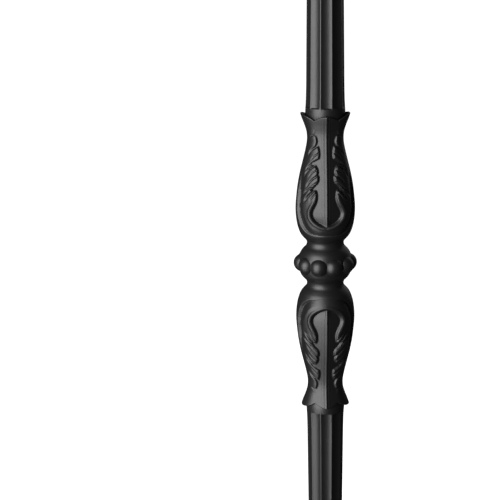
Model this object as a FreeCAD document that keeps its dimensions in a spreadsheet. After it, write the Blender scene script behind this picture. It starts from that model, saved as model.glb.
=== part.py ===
import FreeCAD, Part
import math
import os
import re
import Sketcher

# Iron stair baluster: one casting, drawn about the middle of its ornament and then lifted so that
# the lower end of the bar stands at the origin. The front of the carving faces -Y, up is +Z.
# Lengths are in millimetres.

SIZES = {
    # Bar
    "overall_length": 1117.6,
    "ornament_height": 669.7,
    "bar_dia": 15.88,
    # Knuckle
    "knuckle_reach": 270.0,
    "ball_dia": 28.0,
    "ball_rise": 8.6,
    "ball_fall": 11.4,
    "knuckle_neck_dia": 17.1,
    "ring_offset": 18.8,
    "ring_dia": 21.8,
    "ring_tail": 8.6,
    # Fluted shaft
    "shaft_end_dia": 16.4,
    "shaft_dia": 19.2,
    "band_dia": 20.2,
    "band_height": 12.5,
    "flute_count": 10,
    "flute_radius": 4.4,
    "flute_depth": 1.2,
    "flute_end_depth": 1.0,
    "band_plain": 3.2,
    "flute_stop": 237.0,
    # Bead ring
    "bead_count": 10,
    "bead_ring_dia": 33.6,
    "bead_width": 10.4,
    "bead_height": 11.2,
    "bead_band_dia": 26.6,
    "bead_band_height": 11.0,
    # Vase, as the diameter and height of each station from the bead ring to the rim
    "waist_dia": 19.2,
    "waist_height": 10.9,
    "root_dia": 23.6,
    "root_height": 14.2,
    "shoulder_dia": 28.4,
    "shoulder_height": 19.0,
    "belly_dia": 30.9,
    "belly_height": 29.4,
    "side_dia": 28.7,
    "side_height": 42.0,
    "taper_dia": 23.3,
    "taper_height": 54.5,
    "throat_dia": 18.8,
    "throat_height": 66.5,
    "rim_dia": 25.3,
    "rim_height": 79.0,
    "rim_wall": 1.8,
    "rim_depth": 2.6,
    # Keel panel between the leaves
    "keel_drop": 0.4,
    "panel_half": 9.2,
    "panel_fall": 4.3,
    "panel_foot": 22.2,
    "panel_swell": 7.9,
    "panel_swell_height": 32.3,
    "notch_half": 6.2,
    "notch_depth": 2.8,
    "keel_lobe_depth": 0.3,
    # Leaf lobes along each edge of the panel: the foot of each bulging edge, the height where it comes
    # nearest to the keel, and its tip
    "lobe1_foot_half": 5.1,
    "lobe1_foot": 38.0,
    "lobe1_height": 39.0,
    "lobe1_tip_half": 6.1,
    "lobe1_tip": 41.6,
    "lobe2_foot_half": 5.2,
    "lobe2_foot": 43.4,
    "lobe2_height": 47.8,
    "lobe2_tip_half": 6.2,
    "lobe2_tip": 53.4,
    "lobe3_foot_half": 3.6,
    "lobe3_foot": 57.0,
    "lobe3_height": 59.2,
    "lobe3_tip_half": 4.2,
    "lobe3_tip": 62.8,
    "gap_reach": 2.2,
    "gap_drop": 1.9,
}
SHEET = "Size"

doc = FreeCAD.newDocument("Baluster")
sheet = doc.addObject("Spreadsheet::Sheet", SHEET)
for row, (name, size) in enumerate(SIZES.items(), start=1):
    sheet.set(f"A{row}", name.replace("_", " "))
    sheet.set(f"B{row}", str(size))
    sheet.setAlias(f"B{row}", name)
doc.recompute()


def bind(expression):
    """Points each size named in an expression at its cell."""
    return re.sub(r"[a-z]+[a-z0-9_]*", lambda word: f"{SHEET}.{word[0]}" if word[0] in SIZES else word[0],
                  str(expression))


def number(expression):
    return float(sheet.evalExpression(bind(expression)))


def point(place):
    return FreeCAD.Vector(number(place[0]), number(place[1]), 0)


def hold(sketch, geometry, vertex, side, expression):
    """Holds one coordinate of a point of a sketch at an expression."""
    held = Sketcher.Constraint(f"Distance{side.upper()}", -1, 1, geometry, vertex, number(expression))
    index = sketch.addConstraint(held)
    if re.search("[a-z]", str(expression)):
        sketch.setExpression(f"Constraints[{index}]", bind(expression))


def pin(sketch, geometry, vertex, place):
    hold(sketch, geometry, vertex, "x", place[0])
    hold(sketch, geometry, vertex, "y", place[1])


def arc_centre(start, end, side, held):
    """Centre of the arc between two points whose centre has one coordinate given."""
    middle = (start + end) / 2
    chord = end - start
    if side == "y":
        return FreeCAD.Vector(middle.x - (held - middle.y) * chord.y / chord.x, held, 0)
    return FreeCAD.Vector(held, middle.y - (held - middle.x) * chord.x / chord.y, 0)


def draw_arc(sketch, start, end, side, centre):
    """Draws an arc between two places, its centre at a height (side y) or a distance across (side x)."""
    first, last = point(start), point(end)
    middle = arc_centre(first, last, side, number(centre))
    turns = [math.atan2(spot.y - middle.y, spot.x - middle.x) for spot in (first, last)]
    ends = [1, 2]
    if (turns[1] - turns[0]) % (2 * math.pi) > math.pi:
        turns.reverse()
        ends.reverse()
    ring = Part.Circle(middle, FreeCAD.Vector(0, 0, 1), first.distanceToPoint(middle))
    arc = sketch.addGeometry(Part.ArcOfCircle(ring, *turns))
    pin(sketch, arc, ends[0], start)
    pin(sketch, arc, ends[1], end)
    hold(sketch, arc, 3, side, centre)


def outline(sketch, start, *runs):
    """Draws a closed outline: each run is a place for a line, with a side and a centre added for an arc."""
    here = start
    for place, *bend in runs:
        if bend:
            draw_arc(sketch, here, place, *bend)
        else:
            line = sketch.addGeometry(Part.LineSegment(point(here), point(place)))
            pin(sketch, line, 1, here)
            pin(sketch, line, 2, place)
        here = place


def circle(sketch, place, radius):
    ring = sketch.addGeometry(Part.Circle(point(place), FreeCAD.Vector(0, 0, 1), number(radius)))
    pin(sketch, ring, 3, place)
    index = sketch.addConstraint(Sketcher.Constraint("Radius", ring, number(radius)))
    sketch.setExpression(f"Constraints[{index}]", bind(radius))


TO_XZ = FreeCAD.Rotation(FreeCAD.Vector(1, 0, 0), 90)


def free_sketch(name, turn):
    sketch = doc.addObject("Sketcher::SketchObject", name)
    sketch.Placement = FreeCAD.Placement(FreeCAD.Vector(0, 0, 0), turn)
    return sketch


def origin_part(body, role):
    return next(part for part in body.Origin.OriginFeatures if part.Role == role)


def attach(feature, body, role):
    feature.AttachmentSupport = [(origin_part(body, role), "")]
    feature.MapMode = "FlatFace"
    return feature


def body_sketch(body, name, role):
    return attach(body.newObject("Sketcher::SketchObject", name), body, role)


def primitive(body, kind, name, axis):
    """A primitive on the bar's axis, to be offset, and turned about the axis given."""
    made = attach(body.newObject(f"PartDesign::{kind}", name), body, "XY_Plane")
    made.AttachmentOffset = FreeCAD.Placement(FreeCAD.Vector(0, 0, 0), FreeCAD.Rotation(axis, 1))
    return made


def revolve(body, name, sketch):
    turned = body.newObject("PartDesign::Revolution", name)
    turned.Profile = sketch
    turned.ReferenceAxis = (sketch, ["V_Axis"])
    turned.Angle = 360
    return turned


def pattern(body, name, feature, count):
    """Repeats a feature round the bar."""
    copies = body.newObject("PartDesign::PolarPattern", name)
    copies.Originals = [feature]
    copies.Axis = (origin_part(body, "Z_Axis"), [""])
    copies.Angle = 360
    copies.setExpression("Occurrences", bind(count))
    body.Tip = copies
    return copies


def boolean(kind, name, *shapes):
    made = doc.addObject(f"Part::{kind}", name)
    if kind == "Cut":
        made.Base, made.Tool = shapes
    else:
        made.Shapes = list(shapes)
    return made


def mirror(name, source, normal):
    made = doc.addObject("Part::Mirroring", name)
    made.Source = source
    made.Normal = normal
    return made


def through_cut(name, profile):
    """Half an outline pushed through from front to back, with its mirror image across the keel."""
    side = doc.addObject("Part::Extrusion", f"{name}Side")
    side.Base = profile
    side.DirMode = "Normal"
    side.Solid = True
    side.Symmetric = True
    side.setExpression("LengthFwd", bind("2 * belly_dia"))
    return boolean("MultiFuse", name, side, mirror(f"{name}OtherSide", side, FreeCAD.Vector(1, 0, 0)))


# Vase: lofted through round stations from the waist to the flared rim
STATIONS = ("waist", "root", "shoulder", "belly", "side", "taper", "throat", "rim")


def station_sketch(name, station):
    sketch = free_sketch(f"{name}_{station}", FreeCAD.Rotation())
    sketch.setExpression("Placement.Base.z", bind(f"{station}_height"))
    return sketch


def loft(name, sections):
    made = doc.addObject("Part::Loft", name)
    made.Sections = sections
    made.Solid = True
    return made


rounds = [station_sketch("Round", station) for station in STATIONS]
for sketch, station in zip(rounds, STATIONS):
    circle(sketch, (0, 0), f"{station}_dia / 2")
vase = loft("Vase", rounds)

# Keel: a roof with its ridge just under the vase's side line, front and back
gables = [station_sketch("Gable", station) for station in STATIONS]
for sketch, station in zip(gables, STATIONS):
    ridge = f"{station}_dia / 2 - keel_drop"
    eaves = f"{ridge} - panel_fall"
    outline(sketch, (0, ridge), (("panel_half", eaves),), (("panel_half", f"-({eaves})"),),
            ((0, f"-({ridge})"),), (("-panel_half", f"-({eaves})"),), (("-panel_half", eaves),),
            ((0, ridge),))
roof = loft("KeelRoof", gables)


# Leaves: the vase outside the panel's lobed outline, which is cut straight through from front to back
def lobe(name):
    """One lobe of a leaf: a straight run to the foot of its bulging edge, then the edge up to the tip."""
    foot = (f"{name}_foot_half", f"{name}_foot")
    tip = (f"{name}_tip_half", f"{name}_tip")
    return (foot,), (tip, "y", f"{name}_height")


def gap(name):
    """The gap that runs out and down from the tip of a lobe."""
    return ((f"{name}_tip_half + gap_reach", f"{name}_tip - gap_drop"),)


CLEAR = "rim_height + rim_depth"
NOTCH = "rim_height - notch_depth"
SWELL = ("panel_swell", "panel_swell_height")
profile = free_sketch("PanelOutline", TO_XZ)
outline(profile, (0, "panel_foot"), (SWELL, "x", 0), *lobe("lobe1"), gap("lobe1"), *lobe("lobe2"),
        gap("lobe2"), *lobe("lobe3"), (("notch_half", NOTCH),), (("notch_half", CLEAR),), ((0, CLEAR),),
        ((0, "panel_foot"),))
waste = boolean("Cut", "PanelWaste", through_cut("PanelOpening", profile), roof)
carved = boolean("Cut", "CarvedVase", vase, waste)

# Crown: the rim is cut down to a low lobe on each keel and a notch beside it
profile = free_sketch("CrownOutline", TO_XZ)
LOW = (0, "rim_height - keel_lobe_depth")
outline(profile, LOW, (("notch_half - keel_drop", NOTCH), "x", 0),
        (("rim_dia / 2 + rim_wall", "rim_height"),), (("rim_dia", CLEAR),), ((0, CLEAR),), (LOW,))
crowned = boolean("Cut", "CrownedVase", carved, through_cut("CrownCut", profile))

# Hollow behind the rim, which the shaft stands in
FLOOR = "rim_height - rim_depth"
hollow = doc.addObject("Part::Cone", "RimHollow")
hollow.setExpression("Placement.Base.z", bind(FLOOR))
hollow.setExpression("Radius1", bind("throat_dia / 2 - keel_drop"))
hollow.setExpression("Radius2", bind("rim_dia / 2 - rim_wall"))
hollow.setExpression("Height", bind("rim_depth"))
hollowed = boolean("Cut", "HollowedVase", crowned, hollow)

# Shaft: the tapered bar with its band and knuckle, fluted between the two
shaft = doc.addObject("PartDesign::Body", "Shaft")
BAND = ("shaft_dia / 2", "rim_height + band_height")
TAIL = ("shaft_end_dia / 2", "knuckle_reach - ring_offset - ring_tail")
RING = ("ring_dia / 2", "knuckle_reach - ring_offset")
NECK = ("knuckle_neck_dia / 2", "knuckle_reach - ball_fall")
BALL = ("ball_dia / 2", "knuckle_reach")
TOP = "knuckle_reach + ball_rise"
profile = body_sketch(shaft, "ShaftProfile", "XZ_Plane")
outline(profile, (0, "throat_height"), (("throat_dia / 4", "throat_height"),),
        (("band_dia / 2", FLOOR),), (BAND,), (TAIL,),
        (RING, "y", RING[1]), (NECK, "y", RING[1]), (BALL, "y", BALL[1]),
        (("bar_dia / 2", TOP), "y", BALL[1]), ((0, TOP),), ((0, "throat_height"),))
revolve(shaft, "Taper", profile)

FALL = "(shaft_dia - shaft_end_dia) / 2 - flute_depth + flute_end_depth"
RUN = "flute_stop - rim_height - band_plain"
flute = primitive(shaft, "SubtractiveCylinder", "Flute", FreeCAD.Vector(-1, 0, 0))
flute.setExpression("AttachmentOffset.Rotation.Angle", bind(f"atan(({FALL}) / ({RUN}))"))
flute.setExpression("AttachmentOffset.Base.y", bind("-(shaft_dia / 2 - flute_depth + flute_radius)"))
flute.setExpression("AttachmentOffset.Base.z", bind("rim_height + band_plain"))
flute.setExpression("Radius", bind("flute_radius"))
flute.setExpression("Height", bind(RUN))
pattern(shaft, "Flutes", flute, "flute_count")

# Bead ring: a turned band with a round of beads, whose seams line up with the keels
beads = doc.addObject("PartDesign::Body", "BeadRing")
profile = body_sketch(beads, "BandProfile", "XZ_Plane")
WAIST = ("waist_dia / 2", "waist_height")
upper = [("bead_band_dia / 2", "bead_band_height / 2"), WAIST, (0, "waist_height")]
lower = [(across, f"-({up})") for across, up in reversed(upper)]
outline(profile, lower[0], *((place,) for place in (*lower[1:], *upper, lower[0])))
revolve(beads, "Band", profile)
bead = primitive(beads, "AdditiveEllipsoid", "Bead", FreeCAD.Vector(0, 0, 1))
bead.setExpression("Radius1", bind("bead_height / 2"))
bead.setExpression("Radius2", bind("bead_width / 2"))
bead.setExpression("Radius3", bind("bead_width / 2"))
bead.setExpression("AttachmentOffset.Rotation.Angle", bind("90 + 180 / bead_count"))
OUT = "(bead_ring_dia - bead_width) / 2"
bead.setExpression("AttachmentOffset.Base.x", bind(f"{OUT} * sin(180 / bead_count)"))
bead.setExpression("AttachmentOffset.Base.y", bind(f"-{OUT} * cos(180 / bead_count)"))
pattern(beads, "Beads", bead, "bead_count")

# Bar ends: plain round bar beyond each knuckle
ends = []
for name, foot, length in (("LowerEnd", "-ornament_height", f"ornament_height - ({TOP})"),
                           ("UpperEnd", TOP, f"overall_length - ornament_height - ({TOP})")):
    end = doc.addObject("Part::Cylinder", name)
    end.setExpression("Radius", bind("bar_dia / 2"))
    end.setExpression("Height", bind(length))
    end.setExpression("Placement.Base.z", bind(foot))
    ends.append(end)

half = boolean("MultiFuse", "Half", hollowed, shaft)
other = mirror("OtherHalf", half, FreeCAD.Vector(0, 0, 1))
baluster = boolean("MultiFuse", "Casting", half, other, beads, *ends)
baluster.Label = "baluster"
baluster.setExpression("Placement.Base.z", bind("ornament_height"))
doc.recompute()

for item in doc.Objects:
    if {"Invalid", "Error"} & set(item.State):
        raise RuntimeError(f"{item.Label}: {item.State}")
shape = baluster.Shape
if shape.isNull() or not shape.isValid() or len(shape.Solids) != 1:
    raise RuntimeError(f"{baluster.Label}: not one valid solid")

os.makedirs("parts", exist_ok=True)
shape.exportStep(f"parts/{baluster.Label}.step")
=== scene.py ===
import math

import bpy
import numpy as np
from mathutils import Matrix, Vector


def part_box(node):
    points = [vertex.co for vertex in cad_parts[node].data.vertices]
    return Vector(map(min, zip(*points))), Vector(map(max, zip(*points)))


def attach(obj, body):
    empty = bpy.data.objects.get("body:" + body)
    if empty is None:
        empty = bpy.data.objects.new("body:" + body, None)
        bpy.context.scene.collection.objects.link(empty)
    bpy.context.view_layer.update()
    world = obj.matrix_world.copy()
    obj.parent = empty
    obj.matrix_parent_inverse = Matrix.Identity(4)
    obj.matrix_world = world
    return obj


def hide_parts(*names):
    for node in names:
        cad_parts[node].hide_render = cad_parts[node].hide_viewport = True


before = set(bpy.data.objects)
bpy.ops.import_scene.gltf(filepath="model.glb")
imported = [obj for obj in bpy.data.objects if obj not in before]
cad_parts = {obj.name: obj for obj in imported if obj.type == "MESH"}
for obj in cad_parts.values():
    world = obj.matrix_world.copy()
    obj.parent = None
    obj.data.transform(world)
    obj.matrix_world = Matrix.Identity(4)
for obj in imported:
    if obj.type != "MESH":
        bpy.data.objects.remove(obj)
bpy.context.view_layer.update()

# Sizes are in millimetres and turns in degrees. Heights are from the middle of the ornament.
MM = 0.001
CENTRE = 669.7
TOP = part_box("baluster")[1].z / MM - CENTRE

# Side line of the vase from the bead ring's middle to the rim, as radius and height
BODY = [
    (14.3, 0.0), (14.25, 1.6), (13.95, 3.2), (13.4, 4.8), (12.75, 6.2), (11.7, 7.6), (10.5, 8.8), (9.9, 9.8),
    (9.7, 10.8), (9.75, 11.6), (10.3, 12.7), (11.6, 14.1), (13.0, 16.0), (14.2, 19.0), (14.95, 22.2),
    (15.45, 26.5), (15.5, 31.0), (15.05, 36.4), (14.37, 42.0), (13.2, 48.2), (11.66, 54.5), (10.3, 60.2),
    (9.48, 65.0), (9.65, 69.2), (10.75, 73.0), (12.0, 76.2), (12.95, 79.0),
]
RIM = np.array(BODY[-1])
# The rim's edge and the hollow behind it, as distance in and rise from the rim
LIP = [
    (0.05, 0.25), (0.25, 0.45), (0.6, 0.4), (0.85, 0.15), (1.1, -0.6), (1.5, -1.5), (2.1, -2.2), (3.4, -2.5),
]

# Mesh of the vase: spacing of its rows, its columns, and the share of a quarter's columns that lies within
# the front's turn from the keel
ROW = 0.29
LIP_ROW = 0.35
COLUMNS = 300
DENSE = 0.69
FRONT = 46
LINE_STEP = 0.15
SIDE_STEP = 0.05
CURVE_STEPS = 24

# Keel panel: a roof with its ridge on the keel, fine lines beside the ridge and a dip at its foot
KEEL_DROP = 0.4
KEEL_FALL = math.tan(math.radians(25))
LINES = [(1.15, 0.15), (2.7, 0.07)]
LINE_WIDTH = 0.28
FOOT_DIP = 0.4
FOOT_SPAN = (22.5, 28.0)
FOOT_ACROSS = (0.4, 2.4)

# Wall between the leaf and the panel, the rounding of its top edge, and the rolled lip round the foot
WALL = 0.95
WALL_OUT = 0.25
WALL_BOW = 2.2
ROUNDING = 0.38
ROUNDING_WIDTH = 0.6
ROUNDING_END = (67.5, 70.0)
ROLL = 0.4
ROLL_OUT = 1.3
ROLL_WIDTH = 0.7
ROLL_END = (33.0, 38.0)

# Edge of the panel in smooth stretches, as distance from the keel and height: round its foot, along the
# lobes of the leaf and up past the rim
EDGE = [
    [(0, 22.2), (2.4, 22.7), (4.6, 23.6), (6.7, 25.1), (8.05, 27.1), (8.35, 29.2), (7.75, 31.2), (6.8, 33.0),
     (6.0, 34.7), (5.55, 36.4), (5.45, 38.4), (5.75, 40.2), (6.6, 41.0)],
    [(8.6, 40.8), (7.0, 42.9), (5.2, 44.6)],
    [(5.2, 44.6), (4.6, 45.7), (4.4, 47.0), (4.55, 48.2), (5.25, 48.6)],
    [(5.25, 48.6), (4.8, 49.8), (4.95, 51.2), (5.65, 52.6), (6.5, 53.4)],
    [(8.3, 53.2), (7.5, 54.8), (5.8, 56.0), (4.15, 56.9)],
    [(4.15, 56.9), (3.8, 58.6), (3.95, 60.8), (4.5, 62.8)],
    [(6.0, 62.7), (5.1, 65.0), (5.4, 67.0), (5.9, 68.4)],
    [(6.6, 68.9), (6.45, 70.4), (6.6, 72.1), (6.94, 76.2), (6.94, 84.0)],
]
# Grooves of the leaf: depth, half width and line, running out from the panel
GROOVES = [
    (1.4, 0.9, [(6.8, 41.0), (8.9, 38.8), (10.4, 36.8), (11.6, 34.4)]),
    (0.8, 0.7, [(8.4, 42.2), (10.1, 40.7), (11.7, 38.6), (12.8, 36.4)]),
    (1.2, 0.8, [(6.6, 53.1), (9.0, 51.1), (10.4, 49.4), (11.4, 46.6)]),
    (1.1, 0.8, [(7.4, 54.5), (9.0, 52.9), (10.2, 51.2), (11.0, 49.6)]),
    (1.1, 0.9, [(5.0, 62.9), (7.0, 61.5), (8.2, 60.0), (9.2, 57.6)]),
    (0.6, 0.6, [(6.0, 68.5), (7.3, 68.2), (8.3, 67.2)]),
    (0.7, 0.6, [(5.6, 39.6), (7.3, 37.9), (8.9, 35.4)]),
    (0.8, 0.8, [(4.7, 48.5), (7.4, 46.6), (9.4, 44.1), (10.9, 41.2)]),
    (0.55, 0.55, [(5.1, 45.2), (7.3, 43.6), (9.2, 41.4)]),
    (0.55, 0.55, [(5.3, 51.2), (7.6, 49.6), (9.6, 46.8)]),
    (0.6, 0.6, [(4.0, 59.6), (6.3, 58.0), (8.2, 55.6)]),
]
# Channel between the leaf and the smooth skin of the vase: its line from below the panel's foot up the side,
# its reach towards the keel and towards the side, and the shares of the line where it grows and fades
CHANNEL = [
    (0, 17.0), (4.8, 17.2), (9.5, 18.4), (12.5, 21.2), (14.0, 25.0), (14.75, 29.0), (14.65, 34.0),
    (14.15, 39.0), (13.35, 44.0), (12.4, 48.5), (11.1, 54.0),
]
CHANNEL_STEP = 0.2
CHANNEL_DEPTH = 1.6
CHANNEL_NEAR = 5.2
CHANNEL_FAR = 0.9
CHANNEL_BLUNT = 0.1
CHANNEL_GROWS = (0.06, 0.34)
CHANNEL_FADES = (0.6, 1.0)
CHANNEL_START = 0.25
CHANNEL_START_REACH = 0.55

# Crown: the turns of the notch and the side lobe from the keel, and the heights of the keel's lobe, the notch
# and the side lobe
NOTCH = 36.2
LEAF_TOP = 80.0
KEEL_TOP = 77.8
NOTCH_TOP = 75.6
SIDE_TOP = 78.7
LOBE_FLAT = 0.2
LOBE_BOW = 1.3
LEAF_BOW = 0.9
# Below the crown the side leaves fold in to the panel's flanks, and above the throat the rows stretch to
# the rim
FOLD_SPAN = (66.0, 72.0)
THROAT = 66.5

# Shaft, as radius and height: its end hidden in the crown, then what is seen up to the knuckle
SHAFT_ROOT = [(0.0, 72.5), (7.5, 72.5)]
SHAFT = [
    (9.0, 74.4), (9.75, 76.2), (10.2, 77.8), (10.3, 79.2), (10.25, 80.6), (10.1, 83.0), (9.95, 85.6),
    (9.85, 89.0), (9.75, 94.0), (8.3, 242.6),
]
FLUTE_COUNT = 10
FLUTE_COLUMNS = 30
FLUTE_ROWS = 24
FLUTE_FOOT_ROWS = (87.5, 91.5)
FLUTE_RADIUS = 7.4
FLUTE_DEPTH = (0.98, 0.75)
FLUTE_END = 0.5
FLUTE_SPAN = (81.8, 237.0)

# Double knuckle at the shaft's end, and the bar beyond it
KNUCKLE = [
    (8.6, 243.6), (9.6, 246.2), (10.6, 249.2), (10.9, 251.2), (10.6, 253.2), (9.6, 256.2), (8.55, 258.6),
    (9.2, 259.6), (11.2, 261.4), (12.7, 263.8), (13.7, 267.0), (14.0, 270.0), (13.7, 272.6), (12.6, 275.4),
    (10.9, 277.4), (8.4, 278.6),
]
KNUCKLE_ROW = 0.7
KNUCKLE_END = 278.7
SHAFT_END = 300.0
BAR_RADIUS = 7.94
BAR_START = 298.0
BAR_STEPS = 64
CHAMFER = 0.6

# Beads: the radius that they reach, their width, depth and height, and how square a ball they are
BEAD_COUNT = 10
BEAD_RING = 16.67
BEAD_SIZE = (10.6, 12.4, 10.2)
BEAD_SQUARE = 2.1

# Crease angles that stay sharp
CARVED_CREASE = 60
FLUTE_CREASE = 32
BAR_CREASE = 30

# Stage: lights in metres and watts, as place, target, width, height and power
MIDDLE = (0, 0, CENTRE * MM)
LIGHTS = {
    "key": ((-0.92, -0.92, 0.98), (0, 0, 0.9), 1.3, 1.75, 46),
    "low_card": ((-0.62, -0.55, 0.06), MIDDLE, 0.8, 0.6, 3.2),
    "back_fill": ((0.62, 1.05, 1.15), MIDDLE, 1.2, 1.2, 1.5),
}
WORLD_LIGHT = 0.035
FLOOR_SIZE = 120
FLOOR_GLOW = 1.1

# Camera, as for the enlarged picture of the ornament: metres from its middle, rise and turn, and lens
DISTANCE = 0.672
RISE = math.radians(15)
ROUND = math.radians(-3.5)
LENS = 91.9
SHIFT = (-0.1506, 0.024)


def smooth(low, high, value):
    """A step from 0 to 1 with eased ends."""
    share = np.clip((value - low) / (high - low), 0, 1)
    return share * share * (3 - 2 * share)


def curve(points, spacing):
    """A smooth line through points, sampled evenly."""
    knots = np.array(points, float)
    knots = np.vstack([2 * knots[0] - knots[1], knots, 2 * knots[-1] - knots[-2]])
    fine = []
    for before, start, end, after in zip(knots, knots[1:], knots[2:], knots[3:]):
        share = np.linspace(0, 1, CURVE_STEPS, endpoint=False)[:, None]
        fine.append(0.5 * (2 * start + (end - before) * share
                           + (2 * before - 5 * start + 4 * end - after) * share ** 2
                           + (3 * start - before - 3 * end + after) * share ** 3))
    fine = np.vstack([*fine, knots[-2:-1]])
    length = np.concatenate([[0], np.cumsum(np.linalg.norm(np.diff(fine, axis=0), axis=1))])
    even = np.linspace(0, length[-1], max(2, round(length[-1] / spacing) + 1))
    return np.stack([np.interp(even, length, fine[:, side]) for side in range(2)], 1)


SIDE_LINE = curve(BODY, SIDE_STEP)


def radius_at(height):
    """Radius of the vase's side line."""
    return np.interp(height, SIDE_LINE[:, 1], SIDE_LINE[:, 0])


def on_body(across, height):
    """Points of the vase's side in space, from their distance from the keel's plane and their height."""
    radius = radius_at(height)
    turn = np.arcsin(np.clip(across / radius, -1, 1))
    return np.stack([across, radius * np.cos(turn), height], 1)


def nearest(points, line):
    """Distance from each point to a line of points in space, and how far along the line that is."""
    gaps = np.linalg.norm(points[:, None, :] - line[None, :, :], axis=2)
    place = gaps.argmin(1)
    return gaps[np.arange(len(points)), place], place / (len(line) - 1)


def inside(across, height, outline):
    """Whether points lie inside a closed outline."""
    found = np.zeros(len(across), bool)
    for (x0, z0), (x1, z1) in zip(outline, np.roll(outline, -1, axis=0)):
        crosses = (z0 > height) != (z1 > height)
        found ^= crosses & (across < (x1 - x0) * (height - z0) / (z1 - z0 + 1e-12) + x0)
    return found


def rim_height(turn):
    """Height of the crown's edge by turn from the keel."""
    degrees = np.degrees(turn)
    lobe_share = np.clip((degrees / NOTCH - LOBE_FLAT) / (1 - LOBE_FLAT), 0, 1)
    lobe = KEEL_TOP - (KEEL_TOP - NOTCH_TOP) * lobe_share ** LOBE_BOW
    foot, top = np.sin(np.radians([NOTCH, LEAF_TOP]))
    leaf_share = np.clip((np.sin(turn) - foot) / (top - foot), 0, 1)
    leaf = NOTCH_TOP + (SIDE_TOP - NOTCH_TOP) * leaf_share ** LEAF_BOW
    return np.where(degrees < NOTCH, lobe, leaf)


def panel_radius(turn, height):
    """Radius of the keel panel by turn from the keel and height."""
    across = radius_at(height) * np.sin(turn)
    line = sum(deep * np.exp(-((across - away) / LINE_WIDTH) ** 2) for away, deep in LINES)
    dip = FOOT_DIP * (1 - smooth(*FOOT_SPAN, height)) * smooth(*FOOT_ACROSS, across)
    return (radius_at(height) - KEEL_DROP - line) / (np.cos(turn) + KEEL_FALL * np.sin(turn)) - dip


def leaf_fold(turn, height):
    """How far the side leaf moves out of the side line to meet the panel's flank under the crown."""
    flank = panel_radius(np.full_like(turn, math.radians(NOTCH)), height)
    out = np.clip((np.degrees(turn) - NOTCH) / (90 - NOTCH), 0, 1)
    return (flank - radius_at(height)) * smooth(*FOLD_SPAN, height) * (1 - np.sin(out * math.pi / 2))


def channel_cut(points, across, height):
    """Depth of the channel round the leaf."""
    line = curve(CHANNEL, CHANNEL_STEP)
    gap, along = nearest(points, on_body(*line.T))
    leafward = inside(across, height, np.vstack([line, [(0, CHANNEL[-1][1])]]))
    grown = smooth(*CHANNEL_GROWS, along)
    fade = (CHANNEL_START + (1 - CHANNEL_START) * grown) * (1 - smooth(*CHANNEL_FADES, along))
    reach = np.where(leafward, CHANNEL_NEAR, CHANNEL_FAR)
    reach = reach * (CHANNEL_START_REACH + (1 - CHANNEL_START_REACH) * grown)
    return CHANNEL_DEPTH * fade * np.clip(1 - np.sqrt(gap ** 2 + CHANNEL_BLUNT) / reach, 0, 1)


def groove_cut(points):
    """Depth of the leaf's grooves, each of which runs out along its line."""
    cut = np.zeros(len(points))
    for deep, half, line in GROOVES:
        gap, along = nearest(points, on_body(*curve(line, LINE_STEP).T))
        cut += deep * (1 - along ** 2) * (1 - smooth(0, half, gap))
    return cut


def carved_radius(turn, height):
    """Radius of the carved vase by turn from the keel and height."""
    across = radius_at(height) * np.sin(turn)
    points = on_body(across, height)
    leaf = radius_at(height) + leaf_fold(turn, height)
    leaf -= channel_cut(points, across, height) + groove_cut(points)
    edge = np.vstack([curve(stretch, LINE_STEP) for stretch in EDGE])
    gap = nearest(points, on_body(*edge.T))[0]
    within = inside(across, height, np.vstack([edge, [(0, EDGE[-1][-1][1])]]))
    inward = np.where(within, gap, -gap)
    leaf += ROLL * np.exp(-((inward + ROLL_OUT) / ROLL_WIDTH) ** 2) * (1 - smooth(*ROLL_END, height))
    leaf -= ROUNDING * np.exp(-gap / ROUNDING_WIDTH) * (1 - smooth(*ROUNDING_END, height))
    share = 1 - (1 - np.clip((inward + WALL_OUT) / WALL, 0, 1)) ** WALL_BOW
    return leaf + (panel_radius(turn, height) - leaf) * share


def use(piece):
    """Makes a piece the only one that operators act on."""
    bpy.ops.object.select_all(action="DESELECT")
    piece.select_set(True)
    bpy.context.view_layer.objects.active = piece


def copied(piece, name):
    use(piece)
    bpy.ops.object.duplicate()
    bpy.context.object.name = name
    return bpy.context.object


def settle(piece):
    """Moves a piece's place, turn and scale into its mesh."""
    use(piece)
    bpy.ops.object.transform_apply(location=True, rotation=True, scale=True)


def shade(piece, degrees):
    use(piece)
    bpy.ops.object.shade_smooth_by_angle(angle=math.radians(degrees))


def turned(name, profile, steps):
    """A closed piece turned round the upright axis from a profile of radius and height."""
    bpy.ops.object.select_all(action="DESELECT")
    bpy.ops.mesh.primitive_plane_add(size=MM)
    piece = bpy.context.object
    piece.name = name
    bpy.ops.object.mode_set(mode="EDIT")
    bpy.ops.mesh.select_all(action="SELECT")
    bpy.ops.mesh.merge(type="CENTER")
    here = np.zeros(2)
    for count, there in enumerate(np.array(profile, float)):
        step = ((there[0] - here[0]) * MM, 0, (there[1] - here[1]) * MM)
        if count:
            bpy.ops.mesh.extrude_region_move(TRANSFORM_OT_translate={"value": step})
        else:
            bpy.ops.transform.translate(value=step)
        here = there
    bpy.ops.mesh.select_all(action="SELECT")
    bpy.ops.mesh.spin(steps=steps, angle=2 * math.pi, center=(0, 0, 0), axis=(0, 0, 1))
    bpy.ops.mesh.select_all(action="SELECT")
    bpy.ops.mesh.remove_doubles(threshold=MM / 1000)
    bpy.ops.mesh.normals_make_consistent(inside=False)
    bpy.ops.object.mode_set(mode="OBJECT")
    return piece


def corners(piece):
    """A mesh's points, in metres."""
    flat = np.empty(len(piece.data.vertices) * 3, np.float32)
    piece.data.vertices.foreach_get("co", flat)
    return flat.reshape(-1, 3).astype(float)


def move_corners(piece, places):
    piece.data.vertices.foreach_set("co", places.astype(np.float32).ravel())
    piece.data.update()


def polar(piece):
    """Turn from the front, radius and height of a mesh's points."""
    x, y, z = corners(piece).T / MM
    return np.arctan2(x, -y), np.hypot(x, y), z


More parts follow.
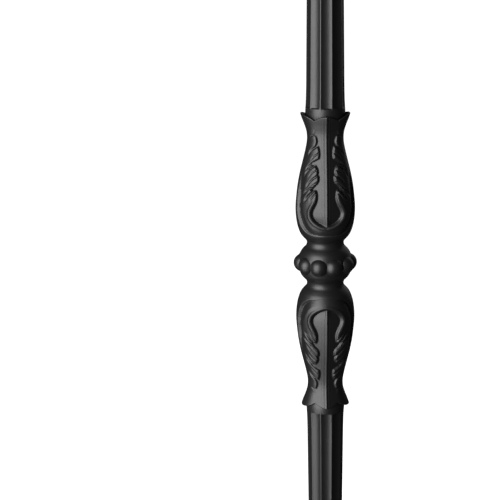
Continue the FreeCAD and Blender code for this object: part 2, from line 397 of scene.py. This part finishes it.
def move_polar(piece, turn, radius, height):
    move_corners(piece, np.stack([radius * np.sin(turn), -radius * np.cos(turn), height], 1) * MM)


def gathered(away):
    """Turns from the nearer keel, with the columns drawn together over the panel."""
    quarter = math.pi / 2
    front = math.radians(FRONT)
    share = away / quarter
    sides = front + (share - DENSE) / (1 - DENSE) * (quarter - front)
    return np.where(share < DENSE, share / DENSE * front, sides)


def make_vase():
    """The upper vase: turned from its side line, then carved with the panel, the leaves and the crown."""
    hollow = RIM + curve(LIP, LIP_ROW) * (-1, 1)
    profile = np.vstack([[(0, 0)], curve(BODY, ROW), hollow, [(0, RIM[1] + LIP[-1][1])]])
    vase = turned("vase_upper", profile, COLUMNS)
    turn, radius, height = polar(vase)
    behind = np.abs(turn) > math.pi / 2
    away = gathered(np.where(behind, math.pi - np.abs(turn), np.abs(turn)))
    turn = np.sign(turn) * np.where(behind, math.pi - away, away)
    rim = rim_height(away)
    skin = (height <= RIM[1] + 1e-4) & (radius >= radius_at(height) - 1e-3) & (height > 1e-6)
    crown = skin & (height > THROAT)
    lip = ~skin & (height > THROAT) & (radius > 1.0)
    raised = height.copy()
    raised[crown] = THROAT + (height[crown] - THROAT) * ((rim[crown] - THROAT) / (RIM[1] - THROAT))
    raised[lip] = height[lip] - RIM[1] + rim[lip]
    # the four quarters are alike, so each place is carved once
    places = np.round(np.stack([away[skin], raised[skin]], 1), 6)
    places, back = np.unique(places, axis=0, return_inverse=True)
    cut = radius.copy()
    cut[skin] = carved_radius(*places.T)[back.ravel()]
    cut[lip] = radius[lip] - RIM[0] + carved_radius(away[lip], rim[lip])
    move_polar(vase, turn, cut, raised)
    shade(vase, CARVED_CREASE)
    return vase


def make_shaft():
    """The upper shaft and knuckle: turned, with flutes let in between two stops."""
    low, high = FLUTE_SPAN
    radii, heights = np.array(SHAFT).T
    along = np.linspace(low + FLUTE_END, high - FLUTE_END, FLUTE_ROWS)
    levels = sorted([*heights, *along, low, high, *FLUTE_FOOT_ROWS])
    seen = np.stack([np.interp(levels, heights, radii), levels], 1)
    end = [(BAR_RADIUS, KNUCKLE_END), (BAR_RADIUS, SHAFT_END), (0, SHAFT_END)]
    profile = np.vstack([SHAFT_ROOT, seen, curve(KNUCKLE, KNUCKLE_ROW), end])
    shaft = turned("shaft_upper", profile, FLUTE_COUNT * FLUTE_COLUMNS)
    turn, radius, height = polar(shaft)
    pitch = 2 * math.pi / FLUTE_COUNT
    off = (turn + pitch / 2) % pitch - pitch / 2
    sunk = FLUTE_DEPTH[0] + (FLUTE_DEPTH[1] - FLUTE_DEPTH[0]) * np.clip((height - low) / (high - low), 0, 1)
    cutter = radius - sunk + FLUTE_RADIUS
    room = FLUTE_RADIUS ** 2 - (cutter * np.sin(off)) ** 2
    groove = np.where(room > 0, cutter * np.cos(off) - np.sqrt(np.maximum(room, 0)), np.inf)
    fluted = (height > low + FLUTE_END / 2) & (height < high - FLUTE_END / 2)
    move_polar(shaft, turn, np.where(fluted, np.minimum(radius, groove), radius), height)
    shade(shaft, FLUTE_CREASE)
    return shaft


def make_beads():
    """The ring of beads: one squared ball, copied round with a seam on each keel."""
    bpy.ops.object.select_all(action="DESELECT")
    bpy.ops.mesh.primitive_uv_sphere_add(segments=48, ring_count=32, radius=0.5)
    bead = bpy.context.object
    bead.name = "bead_1"
    ball = corners(bead) * 2
    reach = (np.abs(ball) ** BEAD_SQUARE).sum(1, keepdims=True) ** (1 / BEAD_SQUARE)
    move_corners(bead, ball / reach / 2)
    bead.scale = [side * MM for side in BEAD_SIZE]
    bead.location = (0, -(BEAD_RING - BEAD_SIZE[1] / 2) * MM, 0)
    settle(bead)
    shade(bead, CARVED_CREASE)
    beads = [bead, *(copied(bead, f"bead_{number}") for number in range(2, BEAD_COUNT + 1))]
    for count, piece in enumerate(beads):
        piece.rotation_euler.z = (count + 0.5) * 2 * math.pi / BEAD_COUNT
        settle(piece)
    return beads


def make_bar(name, start, end):
    """A plain bar with bevelled ends."""
    edge = BAR_RADIUS - CHAMFER
    foot = [(0, start), (edge, start), (BAR_RADIUS, start + CHAMFER)]
    head = [(BAR_RADIUS, end - CHAMFER), (edge, end), (0, end)]
    bar = turned(name, foot + head, BAR_STEPS)
    shade(bar, BAR_CREASE)
    return bar


def turned_over(piece):
    """The lower half's copy of an upper piece."""
    other = copied(piece, piece.name.replace("upper", "lower"))
    other.scale.z = -1
    settle(other)
    bpy.ops.object.mode_set(mode="EDIT")
    bpy.ops.mesh.select_all(action="SELECT")
    bpy.ops.mesh.normals_make_consistent(inside=False)
    bpy.ops.object.mode_set(mode="OBJECT")
    return other


class Wire:
    """A material's node output, with arithmetic between outputs and numbers."""

    def __init__(self, tree, socket):
        self.tree = tree
        self.socket = socket

    def node(self, kind, output=0, settings=None, **inputs):
        """A new node's output. Inputs go by name, or by place as i0, i1 and so on."""
        made = self.tree.nodes.new(kind)
        for name, value in (settings or {}).items():
            setattr(made, name, value)
        for name, value in inputs.items():
            socket = made.inputs[int(name[1:]) if name[1:].isdigit() else name.replace("_", " ")]
            if isinstance(value, Wire):
                self.tree.links.new(value.socket, socket)
            else:
                socket.default_value = value
        return Wire(self.tree, made.outputs[output])

    def math(self, operation, first, second):
        return self.node("ShaderNodeMath", settings={"operation": operation}, i0=first, i1=second)

    def __add__(self, other):
        return self.math("ADD", self, other)

    __radd__ = __add__

    def __mul__(self, other):
        return self.math("MULTIPLY", self, other)

    __rmul__ = __mul__


def satin_black_iron():
    """Black satin paint on iron: even colour, slightly cloudy gloss and a fine grain."""
    iron = bpy.data.materials.new("satin_black_iron")
    iron.use_nodes = True
    tree = iron.node_tree
    shader = tree.nodes["Principled BSDF"]
    shader.inputs["Base Color"].default_value = (0.0065, 0.0065, 0.007, 1)
    shader.inputs["Metallic"].default_value = 0.0
    shader.inputs["Specular IOR Level"].default_value = 0.5
    place = Wire(tree, tree.nodes.new("ShaderNodeTexCoord").outputs["Object"])
    cloud = place.node("ShaderNodeTexNoise", Vector=place, Scale=220.0, Detail=3.0)
    grain = place.node("ShaderNodeTexNoise", Vector=place, Scale=1600.0, Detail=2.0)
    roughness = cloud * 0.08 + 0.38
    bump = place.node("ShaderNodeBump", Strength=0.10, Distance=0.0002, Height=grain)
    tree.links.new(roughness.socket, shader.inputs["Roughness"])
    tree.links.new(bump.socket, shader.inputs["Normal"])
    return iron


def lay_floor():
    """A plain pale floor that glows a little, so that it stays white behind the black iron."""
    bpy.ops.object.select_all(action="DESELECT")
    bpy.ops.mesh.primitive_plane_add(size=FLOOR_SIZE)
    floor = bpy.context.object
    floor.name = "floor"
    pale = bpy.data.materials.new("pale_floor")
    pale.use_nodes = True
    shader = pale.node_tree.nodes["Principled BSDF"]
    shader.inputs["Base Color"].default_value = (0.86, 0.86, 0.86, 1)
    shader.inputs["Roughness"].default_value = 0.9
    shader.inputs["Specular IOR Level"].default_value = 0.0
    shader.inputs["Emission Color"].default_value = (1, 1, 1, 1)
    shader.inputs["Emission Strength"].default_value = FLOOR_GLOW
    floor.data.materials.append(pale)
    floor.visible_glossy = False
    floor.visible_diffuse = False


def hang_light(name, place, target, width, height, watts):
    """A soft light that the camera doesn't see."""
    panel = bpy.data.lights.new(name, "AREA")
    panel.shape = "RECTANGLE"
    panel.size = width
    panel.size_y = height
    panel.energy = watts
    lamp = bpy.data.objects.new(name, panel)
    bpy.context.scene.collection.objects.link(lamp)
    lamp.location = place
    lamp.rotation_euler = (Vector(target) - Vector(place)).to_track_quat("-Z", "Y").to_euler()
    lamp.visible_camera = False


def light_world():
    """White where the camera sees past the floor, and dim as light."""
    world = bpy.data.worlds.new("studio")
    bpy.context.scene.world = world
    world.use_nodes = True
    tree = world.node_tree
    sky = tree.nodes["Background"]
    sky.inputs["Color"].default_value = (1, 1, 1, 1)
    ray = tree.nodes.new("ShaderNodeLightPath")
    level = tree.nodes.new("ShaderNodeMath")
    level.operation = "MAXIMUM"
    level.inputs[1].default_value = WORLD_LIGHT
    tree.links.new(ray.outputs["Is Camera Ray"], level.inputs[0])
    tree.links.new(level.outputs[0], sky.inputs["Strength"])


def stand_camera():
    """A camera that looks down on the middle of the ornament, which its shift puts right of the middle."""
    lens = bpy.data.cameras.new("camera")
    lens.sensor_width = 36
    lens.lens = LENS
    lens.shift_x, lens.shift_y = SHIFT
    lens.clip_end = 200
    camera = bpy.data.objects.new("camera", lens)
    bpy.context.scene.collection.objects.link(camera)
    level = DISTANCE * math.cos(RISE)
    height = CENTRE * MM + DISTANCE * math.sin(RISE)
    camera.location = (level * math.sin(ROUND), -level * math.cos(ROUND), height)
    camera.rotation_euler = (math.pi / 2 - RISE, 0, ROUND)
    bpy.context.scene.camera = camera
    bpy.context.scene.view_settings.view_transform = "Standard"


# The baluster
vase = make_vase()
shaft = make_shaft()
beads = make_beads()
bars = [make_bar("bar_lower", -CENTRE, -BAR_START), make_bar("bar_upper", BAR_START, TOP)]
pieces = [vase, shaft, turned_over(vase), turned_over(shaft), *beads, *bars]
iron = satin_black_iron()
for piece in pieces:
    piece.location.z = CENTRE * MM
    settle(piece)
    piece.data.materials.clear()
    piece.data.materials.append(iron)
    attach(piece, "root")
    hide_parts("baluster")

# The stage
lay_floor()
for name, setting in LIGHTS.items():
    hang_light(name, *setting)
light_world()
stand_camera()
